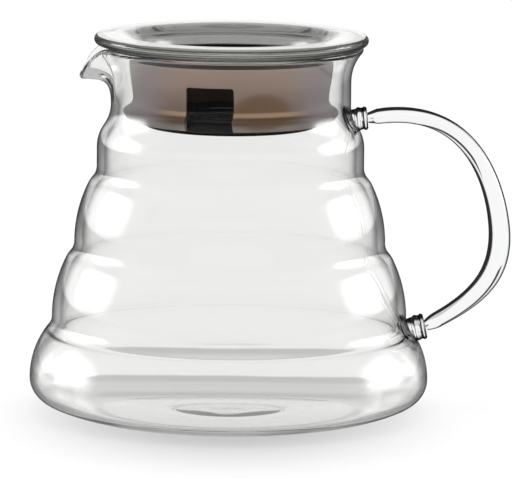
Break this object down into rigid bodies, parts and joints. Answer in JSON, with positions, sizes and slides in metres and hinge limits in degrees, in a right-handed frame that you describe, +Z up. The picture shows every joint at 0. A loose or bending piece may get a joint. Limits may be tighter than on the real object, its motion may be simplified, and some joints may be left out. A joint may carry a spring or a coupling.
{
  "type": "coffee server carafe",
  "caption": "Tiered blown-glass coffee server with a drawn pouring spout, a fused glass rod handle and a lift-off glass lid in a notched silicone sleeve.",
  "frame": {"origin": "on the vessel's axis at the table, in the middle of its flat underside", "axes": "+Z up along the vessel's axis, +X towards the handle, -X towards the spout"},
  "size_m": [0.1504, 0.125, 0.1193],
  "materials": {
    "vessel_glass": "clear, fire polished",
    "handle_glass": "clear, fire polished",
    "lid_glass": "clear, pressed and polished",
    "silicone": "translucent smoky taupe, smooth satin"
  },
  "bodies": {
    "carafe": {"carafe_body": "vessel_glass", "handle_rod": "handle_glass", "upper_weld": "handle_glass", "lower_weld": "handle_glass"},
    "lid": {"lid_glass": "lid_glass"},
    "sleeve": {"lid_sleeve": "silicone"}
  },
  "joints": [
    {"name": "lid_lift", "type": "slide", "parent": "carafe", "child": "lid", "axis": [0, 0, 1], "range_m": [0, 0.06]},
    {"name": "lid_turn", "type": "hinge", "parent": "lid", "child": "sleeve", "pos_m": [0, 0, 0.1], "axis": [0, 0, 1], "continuous": true}
  ]
}
